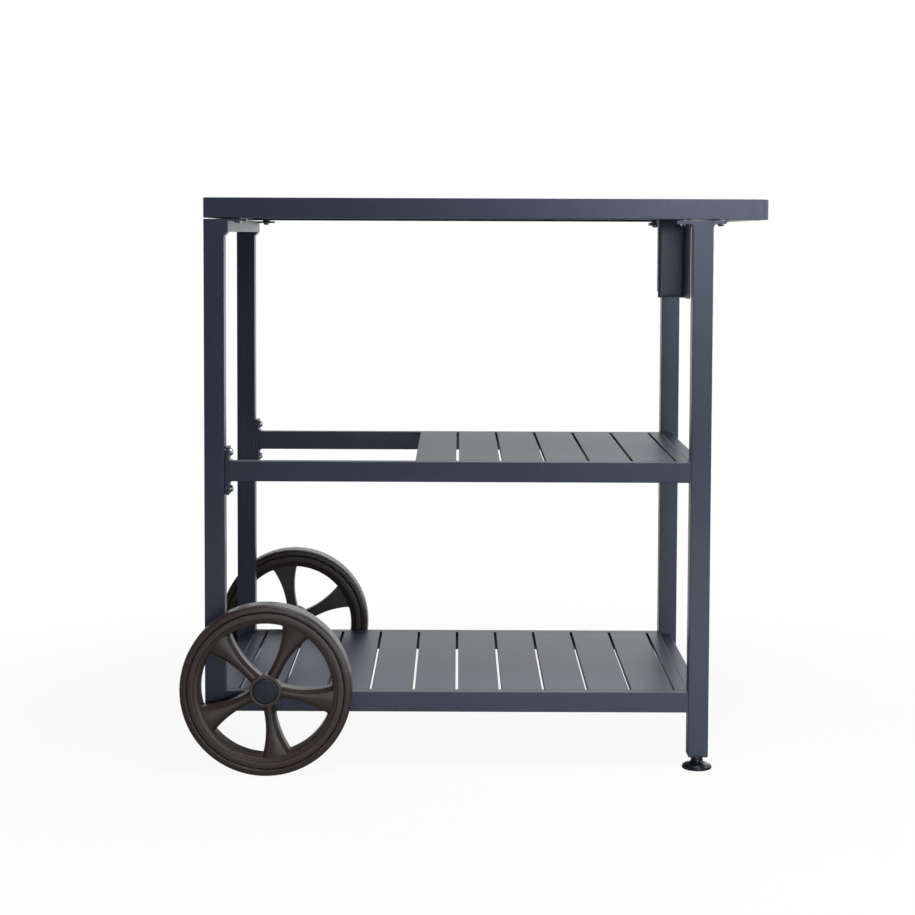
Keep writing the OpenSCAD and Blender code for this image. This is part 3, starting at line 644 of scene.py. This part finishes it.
class TROLLEY_OT_feet(bpy.types.Operator):
    """Models the levelling feet and their threaded studs"""
    bl_idname = "trolley.feet"
    bl_label = "Feet and studs"

    def execute(self, context):
        settings = context.scene.trolley_fittings
        # Moulded polyamide: black, polished mould, so it shows the lamps as spots and streaks
        plastic = moulded_plastic("polished_polyamide", settings.foot_tint, 0.17, 3.0, 0.02)
        zinc = bpy.data.materials["zinc_plated_steel"]
        for side in FEET:
            low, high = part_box("foot_" + side)
            middle = (low + high) / 2
            place = Matrix.Translation((middle.x, middle.y, low.z))
            bm = bmesh.new()
            lathe(bm, FOOT, FOOT_STEPS)
            put_in_place(bm, place)
            finish_piece("levelling_pad_" + side, bm, plastic, side + "_foot",
                         ["foot_" + side])
            self.add_stud(side, place, zinc, settings.thread_pitch)
        return {"FINISHED"}

    def add_stud(self, side, place, material, pitch):
        """Stud: a plain core with a thread wound round it."""
        low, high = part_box("foot_stud_" + side)
        bottom, top = low.z / MM, high.z / MM
        bm = bmesh.new()
        lathe(bm, ((0, bottom, 0), (STUD_CORE, bottom, 0), (STUD_CORE, top - CHAMFER, 0),
                   (STUD_TIP, top, 0), (0, top, 0)), STUD_STEPS)
        turns = int((top - bottom - 2 * CHAMFER) / pitch) - 1
        verts = [bm.verts.new((r, 0, bottom + CHAMFER + h * pitch)) for r, h in THREAD]
        geom = verts + [bm.edges.new(pair) for pair in zip(verts, verts[1:])]
        bmesh.ops.spin(bm, geom=geom, cent=(0, 0, 0), axis=(0, 0, 1),
                       dvec=(0, 0, pitch / THREAD_STEPS), angle=2 * math.pi * turns,
                       steps=THREAD_STEPS * turns)
        put_in_place(bm, Matrix.Translation((place.translation.x, place.translation.y, 0)))
        finish_piece("threaded_stud_" + side, bm, material, side + "_foot",
                     ["foot_stud_" + side])


# Bolts and washers

# Height of a bolt's head in the CAD model, and the radius and end chamfer of its shank
BOLT_HEAD = 4.0
SHANK_R = 3.0
SHANK_CHAMFER = 0.5
# Button head from its underside: radius, height
BUTTON = ((5.5, 0.0), (5.5, 0.65), (5.32, 1.45), (4.9, 2.3), (4.25, 3.1), (3.4, 3.7),
          (2.9, 3.9))
# Hex socket from its mouth: how much wider than the key, height
SOCKET = ((0.12, 3.86), (0, 3.7), (0, 1.8))
# Round floor of the socket: its radius as a share of half the key's width, height
SOCKET_FLOOR = (0.8, 1.5)
# How far the sockets stand turned, in radians for each metre along the frame
SOCKET_TURN = 40
# Radius of a washer's bore, and the rounding of its edges: at the bore, below, above
WASHER_BORE = 3.2
WASHER_EDGES = (0.15, 0.3, 0.35)
# Steps round a bolt or washer
BOLT_STEPS = 48


def add_button_bolt(bm, length):
    """Button head bolt along Z with its head's underside at the origin and a hex socket."""
    loop = draw_loop(bm, ring_points(SHANK_R - SHANK_CHAMFER, -length, BOLT_STEPS))
    bmesh.ops.contextual_create(bm, geom=loop_edges(loop))
    shank = ((SHANK_R, SHANK_CHAMFER - length), (SHANK_R, 0.0))
    for radius, height in shank + BUTTON:
        loop = carry_loop(bm, loop, ring_points(radius, height, BOLT_STEPS))
    flat = bpy.context.scene.trolley_fittings.socket / 2
    for wider, height in SOCKET:
        loop = carry_loop(bm, loop, ring_points(flat + wider, height, BOLT_STEPS, flats=6))
    share, height = SOCKET_FLOOR
    loop = carry_loop(bm, loop, ring_points(flat * share, height, BOLT_STEPS))
    bmesh.ops.contextual_create(bm, geom=loop_edges(loop))


def add_washer(bm, outer, thickness):
    """Pressed washer on the origin with rolled edges."""
    bore, below, above = WASHER_EDGES
    lathe(bm, ((WASHER_BORE, 0, bore), (outer, 0, below), (outer, thickness, above),
               (WASHER_BORE, thickness, bore)), BOLT_STEPS, closed=True)


def join_meshes(parts):
    """One mesh of several."""
    whole = bmesh.new()
    for part in parts:
        spare = bpy.data.meshes.new("spare")
        part.to_mesh(spare)
        part.free()
        whole.from_mesh(spare)
        bpy.data.meshes.remove(spare)
    return whole


class TROLLEY_OT_bolts(bpy.types.Operator):
    """Models the button head bolts and washers of the leg heads and the middle shelf"""
    bl_idname = "trolley.bolts"
    bl_label = "Bolts and washers"

    def execute(self, context):
        steel = bpy.data.materials["polished_stainless_steel"]
        for name, node, add in (
            ("button_bolts_top", "top_bolts", self.add_hanging_bolt),
            ("button_bolts_middle", "mid_bolts", self.add_level_bolt),
            ("rolled_washers_middle", "mid_washers", self.add_level_washer),
        ):
            parts = []
            for low, high in solid_boxes(node):
                bm = bmesh.new()
                add(bm, low, high)
                parts.append(bm)
            finish_piece(name, join_meshes(parts), steel, "frame", [node])
        return {"FINISHED"}

    def add_hanging_bolt(self, bm, low, high):
        """Bolt that comes up through a leg head, with its head under the plate."""
        add_button_bolt(bm, (high.z - low.z) / MM - BOLT_HEAD)
        middle = (low + high) / 2
        put_in_place(bm, Matrix.Translation((middle.x, middle.y, low.z + BOLT_HEAD * MM))
                     @ Matrix.Rotation(math.pi, 4, "X") @ self.tightened(middle.x))

    def add_level_bolt(self, bm, low, high):
        """Bolt that goes into a leg from the right, with its head on the end plate."""
        add_button_bolt(bm, (high.x - low.x) / MM - BOLT_HEAD)
        middle = (low + high) / 2
        put_in_place(bm, Matrix.Translation((high.x - BOLT_HEAD * MM, middle.y, middle.z))
                     @ Matrix.Rotation(math.pi / 2, 4, "Y") @ self.tightened(middle.z))

    def add_level_washer(self, bm, low, high):
        """Washer under a level bolt's head."""
        add_washer(bm, (high.y - low.y) / MM / 2, (high.x - low.x) / MM)
        middle = (low + high) / 2
        put_in_place(bm, Matrix.Translation((low.x, middle.y, middle.z))
                     @ Matrix.Rotation(math.pi / 2, 4, "Y"))

    def tightened(self, place):
        """Turn of a socket, which differs from bolt to bolt with the bolt's place."""
        return Matrix.Rotation(place * SOCKET_TURN, 4, "Z")


# Hanger: its sheet, the rounding of the cheek's corner, the return's depth and how far it ends
# above the web's foot, the relief cut beside the lip, the lip's reach, the edges' deburring
SHEET = 2 * MM
CHEEK_CORNER = 12 * MM
RETURN_DEPTH = 19 * MM
RETURN_RISE = 9 * MM
RELIEF = 1.5 * MM
LIP = 13 * MM
DEBURRED = 0.3 * MM
# Steps of a bend, and of the cheek's corner
BEND_STEPS = 6
CHEEK_STEPS = 8


class TROLLEY_OT_hanger(bpy.types.Operator):
    """Models the folded sheet hanger with rounded bends"""
    bl_idname = "trolley.hanger"
    bl_label = "Hanger"

    def execute(self, context):
        settings = context.scene.trolley_hanger
        low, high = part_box("hanger")
        # The sheet is drawn along its middle and thickened at the end
        web_y, return_y = high.y - RETURN_DEPTH + SHEET / 2, high.y
        left, right = low.x + SHEET / 2, high.x - SHEET / 2
        bm = bmesh.new()
        notch = settings.bend + RELIEF
        plan = [bm.verts.new((x, y, low.z)) for x, y in (
            (left, return_y), (left, web_y), (left + notch, web_y), (right - notch, web_y),
            (right, web_y), (right, low.y))]
        for pair in zip(plan, plan[1:]):
            bm.edges.new(pair)
        bmesh.ops.bevel(bm, geom=[plan[1], plan[4]], offset=settings.bend,
                        offset_type="OFFSET", segments=BEND_STEPS, profile=0.5,
                        affect="VERTICES", material=-1)
        line = bm.edges[:]
        for rise in (RETURN_RISE, high.z - low.z - RETURN_RISE):
            made = bmesh.ops.extrude_edge_only(bm, edges=line)["geom"]
            line = [g for g in made if isinstance(g, bmesh.types.BMEdge)]
            bmesh.ops.translate(bm, vec=(0, 0, rise), verts=[
                g for g in made if isinstance(g, bmesh.types.BMVert)])
        # The return is shorter than the web, and the cheek's lower front corner is round
        limit = web_y + settings.bend - NEAR
        spare = [f for f in bm.faces if f.calc_center_median().z < low.z + RETURN_RISE
                 and min(v.co.y for v in f.verts) > limit]
        bmesh.ops.delete(bm, geom=spare, context="FACES")
        row = [f for f in bm.faces if min(v.co.y for v in f.verts) < low.y + NEAR]
        bmesh.ops.dissolve_faces(bm, faces=row)
        tip = [v for v in bm.verts if (v.co - Vector((right, low.y, low.z))).length < NEAR]
        bmesh.ops.bevel(bm, geom=tip, offset=CHEEK_CORNER, offset_type="OFFSET",
                        segments=CHEEK_STEPS, profile=0.5, affect="VERTICES", material=-1)
        self.add_lip(bm, low.z, web_y, settings.bend)
        bmesh.ops.recalc_face_normals(bm, faces=bm.faces)
        piece = finish_piece("bent_sheet_hanger", bm, bpy.data.materials["powder_coated_tube"],
                             "frame", ["hanger"])
        wall = piece.modifiers.new("sheet", "SOLIDIFY")
        wall.thickness, wall.offset = SHEET, 0
        edge = piece.modifiers.new("deburred edge", "BEVEL")
        edge.width, edge.segments, edge.limit_method = DEBURRED, 2, "ANGLE"
        return {"FINISHED"}

    def add_lip(self, bm, bottom, web_y, bend):
        """Bends the foot of the web to the rear, between two relief cuts."""
        row = [f for f in bm.faces if min(v.co.z for v in f.verts) < bottom + NEAR
               and max(abs(v.co.y - web_y) for v in f.verts) < NEAR]
        tongue = max(row, key=lambda f: f.calc_area())
        cuts = [e for e in tongue.edges if abs(e.verts[0].co.z - e.verts[1].co.z) > NEAR]
        bmesh.ops.split_edges(bm, edges=cuts)
        line = [e for e in tongue.edges if max(v.co.z for v in e.verts) < bottom + NEAR]
        lip_z = bottom + SHEET / 2
        for vert in line[0].verts:
            vert.co.z = lip_z + bend
        # A quarter turn in even steps, and then the flat of the lip
        for i in range(1, BEND_STEPS + 2):
            turn = min(i, BEND_STEPS) / BEND_STEPS * math.pi / 2
            made = bmesh.ops.extrude_edge_only(bm, edges=line)["geom"]
            line = [g for g in made if isinstance(g, bmesh.types.BMEdge)]
            for vert in line[0].verts:
                vert.co.y = web_y + (bend - bend * math.cos(turn) if i <= BEND_STEPS else LIP)
                vert.co.z = lip_z + bend - bend * math.sin(turn)


class TROLLEY_OT_finishes(bpy.types.Operator):
    """Finishes the tubes, slats, plates, caps, bushes and plated parts, and makes the steel"""
    bl_idname = "trolley.finishes"
    bl_label = "Coats and finishes"

    def execute(self, context):
        coat = context.scene.trolley_coat
        fittings = context.scene.trolley_fittings
        dress(powder_coat("powder_coated_tube", coat), *COATED)
        dress(powder_coat("powder_coated_slats", coat, boards=SLAT_PITCH), *SLATTED)
        # Moulded polyethylene plugs: near black, dull
        dress(moulded_plastic("polyethylene_plug", coat.cap_tint, 0.55, 1.2, 0.05),
              "leg_caps_left")
        # Zinc plated steel: pale blue grey, half bright
        dress(plated_steel("zinc_plated_steel", fittings.zinc_tint, 0.34, 0.6), *ZINC)
        # Stainless steel, for the bolts' and washers' pieces: turned, polished heads
        plated_steel("polished_stainless_steel", fittings.steel_tint, 0.15, 0.5)
        # Polyamide without pigment: off white, waxy
        dress(moulded_plastic("natural_polyamide", fittings.bush_tint, 0.4, 1.2, 0.03, 0.05),
              "bushes_front", "bushes_rear")
        return {"FINISHED"}


# Stage

# Soft lamps, in metres and degrees: name, the setting of its power and the share of that,
# whether its light is cool, width and height, spread, place, what it is aimed at
LAMPS = (
    ("softbox_key", "key", 1, True, (0.6, 0.5), 34, (0.58, -2.4, 1.08), (0.58, 0, 0.97)),
    ("softbox_corner", "key", 0.55, True, (0.8, 0.5), 34, (1.4, -1.75, 1.1),
     (0.47, -0.2, 1.0)),
    ("softbox_bend", "key", 0.3, True, (0.7, 0.5), 24, (2.15, -1.35, 0.98),
     (0.43, -0.26, 0.84)),
    ("softbox_low", "low", 1, True, (0.3, 0.2), 70, (0.8, -1.8, 0.25), (0.36, 0, -0.1)),
    ("strip_low", "strip", 1, True, (1.6, 0.3), 60, (0.4, -1.2, 0.12), (0.25, 0, 0.01)),
    ("softbox_above", "overhead", 1, False, (1.2, 0.8), 180, (0.3, -1.0, 2.6), (0, 0, 0.4)),
    ("strip_rear", "rear", 1, True, (2.6, 0.5), 180, (0, 2.2, 0.6), (0, 0, 0.15)),
    ("softbox_right", "side", 1, False, (0.8, 1.2), 180, (2.2, -0.4, 1.0), (0, 0, 0.5)),
    ("softbox_left", "side", 1 / 6, False, (0.8, 1.2), 180, (-2.2, 0.4, 1.0), (0, 0, 0.5)),
)
WHITE = (1, 1, 1)
# Width of the camera's sensor in mm, and half the width of the floor in metres
SENSOR = 36
FLOOR_REACH = 9


class TROLLEY_OT_stage(bpy.types.Operator):
    """Sets up the floor, the soft lamps, the surroundings and the camera"""
    bl_idname = "trolley.stage"
    bl_label = "Stage"

    def execute(self, context):
        settings = context.scene.trolley_stage
        scene = context.scene
        scene.view_settings.view_transform = "Standard"
        self.add_floor(settings)
        self.add_world(scene, settings)
        for name, power, share, is_cool, size, spread, place, aim in LAMPS:
            lamp = bpy.data.lights.new(name, "AREA")
            lamp.energy = getattr(settings, power) * share
            lamp.color = settings.cool if is_cool else WHITE
            lamp.shape, lamp.spread = "RECTANGLE", math.radians(spread)
            lamp.size, lamp.size_y = size
            holder = bpy.data.objects.new(name, lamp)
            scene.collection.objects.link(holder)
            way = Vector(aim) - Vector(place)
            holder.matrix_world = (Matrix.Translation(place)
                                   @ way.to_track_quat("-Z", "Y").to_matrix().to_4x4())
            holder.visible_camera = False
        lens = bpy.data.cameras.new("camera")
        lens.lens, lens.sensor_width, lens.shift_y = settings.lens, SENSOR, settings.rise
        lens.clip_start, lens.clip_end = 0.05, 50
        camera = bpy.data.objects.new("camera", lens)
        scene.collection.objects.link(camera)
        camera.matrix_world = (Matrix.Translation(settings.eye)
                               @ Matrix.Rotation(math.pi / 2 - settings.pitch, 4, "X")
                               @ Matrix.Rotation(settings.roll, 4, "Z"))
        scene.camera = camera
        return {"FINISHED"}

    def add_floor(self, settings):
        """Pale floor: white to the camera, with a faint shadow under the object."""
        material, tree = new_material("pale_studio_floor")
        path = add_node(tree, "LightPath")
        place = add_node(tree, "TexCoord").outputs["Object"]
        cloud = add_node(tree, "TexNoise", {"Scale": per_metre(333)}, {"Vector": place})
        rough = add_node(tree, "MapRange", {"To Min": 0.7, "To Max": 0.9},
                         {"Value": cloud.outputs["Fac"]})
        matt = add_node(tree, "BsdfDiffuse", {"Color": rgba(settings.floor_tint)},
                        {"Roughness": rough.outputs["Result"]})
        # In reflections it darkens towards the front, as in a studio with only its sweep lit
        depth = add_node(tree, "SeparateXYZ", links={"Vector": place}).outputs["Y"]
        mirrored = add_node(tree, "MapRange", {"From Min": -0.2, "From Max": 0.6,
                                               "To Min": 0.12}, {"Value": depth})
        level = add_node(tree, "Mix", {"A": 1.0}, {"Factor": path.outputs["Is Glossy Ray"],
                                                   "B": mirrored.outputs["Result"]})
        glow = add_node(tree, "Emission", {"Color": rgba(WHITE)},
                        {"Strength": level.outputs["Result"]})
        # To the camera it glows plain white, apart from a little of its own shading near the
        # object, which keeps the shadow
        reach = add_node(tree, "VectorMath", links={0: place}, operation="LENGTH")
        plain = add_node(tree, "MapRange", {"From Min": 0.6, "From Max": 1.4,
                                            "To Min": 0.93}, {"Value": reach.outputs["Value"]})
        seen = add_node(tree, "Math", operation="MAXIMUM", links={
            0: path.outputs["Is Camera Ray"], 1: path.outputs["Is Transmission Ray"]})
        share = add_node(tree, "Math", operation="MULTIPLY", links={
            0: seen.outputs["Value"], 1: plain.outputs["Result"]})
        share = add_node(tree, "Math", operation="MAXIMUM", links={
            0: share.outputs["Value"], 1: path.outputs["Is Glossy Ray"]})
        both = add_node(tree, "MixShader", links={0: share.outputs["Value"],
                                                  1: matt.outputs["BSDF"],
                                                  2: glow.outputs["Emission"]})
        add_node(tree, "OutputMaterial", links={"Surface": both.outputs["Shader"]})
        bm = bmesh.new()
        bmesh.ops.create_grid(bm, x_segments=1, y_segments=1, size=FLOOR_REACH)
        mesh = bpy.data.meshes.new("studio_floor")
        bm.to_mesh(mesh)
        bm.free()
        mesh.materials.append(material)
        floor = bpy.data.objects.new("studio_floor", mesh)
        bpy.context.scene.collection.objects.link(floor)

    def add_world(self, scene, settings):
        """White surroundings: weak even light on the object, and their own reflections."""
        world = bpy.data.worlds.new("studio_surround")
        world.use_nodes = True
        scene.world = world
        tree = world.node_tree
        tree.nodes.clear()
        path = add_node(tree, "LightPath")
        way = add_node(tree, "TexCoord").outputs["Generated"]
        parts = add_node(tree, "SeparateXYZ", links={"Vector": way})
        # Reflections are brightest from behind, and fade out to the front and to the left
        behind = add_node(tree, "MapRange", {"From Min": -0.3, "From Max": 0.45,
                                             "To Min": 0.1}, {"Value": parts.outputs["Y"]})
        aside = add_node(tree, "MapRange", {"From Min": -0.3, "From Max": 0.1,
                                            "To Min": 0.15}, {"Value": parts.outputs["X"]})
        shine = add_node(tree, "Math", operation="MULTIPLY", links={
            0: behind.outputs["Result"], 1: aside.outputs["Result"]})
        # A half bright wall shows in what faces right
        right = add_node(tree, "MapRange", {"From Min": 0.25, "From Max": 0.85, "To Max": 0.5},
                         {"Value": parts.outputs["X"]})
        shine = add_node(tree, "Math", operation="MAXIMUM", links={
            0: shine.outputs["Value"], 1: right.outputs["Result"]})
        level = add_node(tree, "Mix", {"A": settings.ambient},
                         {"Factor": path.outputs["Is Glossy Ray"],
                          "B": shine.outputs["Value"]})
        seen = add_node(tree, "Math", operation="MAXIMUM", links={
            0: path.outputs["Is Camera Ray"], 1: path.outputs["Is Transmission Ray"]})
        strength = add_node(tree, "Mix", {"B": 1.0}, {"Factor": seen.outputs["Value"],
                                                      "A": level.outputs["Result"]})
        sky = add_node(tree, "Background", {"Color": rgba(WHITE)},
                       {"Strength": strength.outputs["Result"]})
        add_node(tree, "OutputWorld", links={"Surface": sky.outputs["Background"]})


class TROLLEY_PT_panel(bpy.types.Panel):
    """Lists the trolley's pieces"""
    bl_idname = "TROLLEY_PT_panel"
    bl_label = "Grill trolley"
    bl_space_type = "VIEW_3D"
    bl_region_type = "UI"
    bl_category = "Trolley"

    def draw(self, context):
        for operator in OPERATORS:
            self.layout.operator(operator.bl_idname)
        for name, group in SETTINGS.items():
            box = self.layout.box()
            box.label(text=group.__doc__)
            for prop in group.__annotations__:
                box.prop(getattr(context.scene, name), prop)


SETTINGS = {
    "trolley_coat": CoatSettings,
    "trolley_wheels": WheelSettings,
    "trolley_fittings": FittingSettings,
    "trolley_hanger": HangerSettings,
    "trolley_stage": StageSettings,
}
OPERATORS = (
    TROLLEY_OT_stage, TROLLEY_OT_finishes, TROLLEY_OT_wheels, TROLLEY_OT_tyres,
    TROLLEY_OT_hub_caps, TROLLEY_OT_feet, TROLLEY_OT_bolts, TROLLEY_OT_hanger,
)


def register():
    """Registers the settings, operators and panel."""
    for name, group in SETTINGS.items():
        bpy.utils.register_class(group)
        setattr(bpy.types.Scene, name, PointerProperty(type=group))
    for item in OPERATORS + (TROLLEY_PT_panel,):
        bpy.utils.register_class(item)


def unregister():
    """Takes them out again."""
    for item in (TROLLEY_PT_panel,) + OPERATORS[::-1]:
        bpy.utils.unregister_class(item)
    for name, group in SETTINGS.items():
        delattr(bpy.types.Scene, name)
        bpy.utils.unregister_class(group)


def main():
    """Makes every piece."""
    register()
    bpy.ops.trolley.stage()
    bpy.ops.trolley.finishes()
    bpy.ops.trolley.wheels()
    bpy.ops.trolley.tyres()
    bpy.ops.trolley.hub_caps()
    bpy.ops.trolley.feet()
    bpy.ops.trolley.bolts()
    bpy.ops.trolley.hanger()


if __name__ == "__main__":
    main()
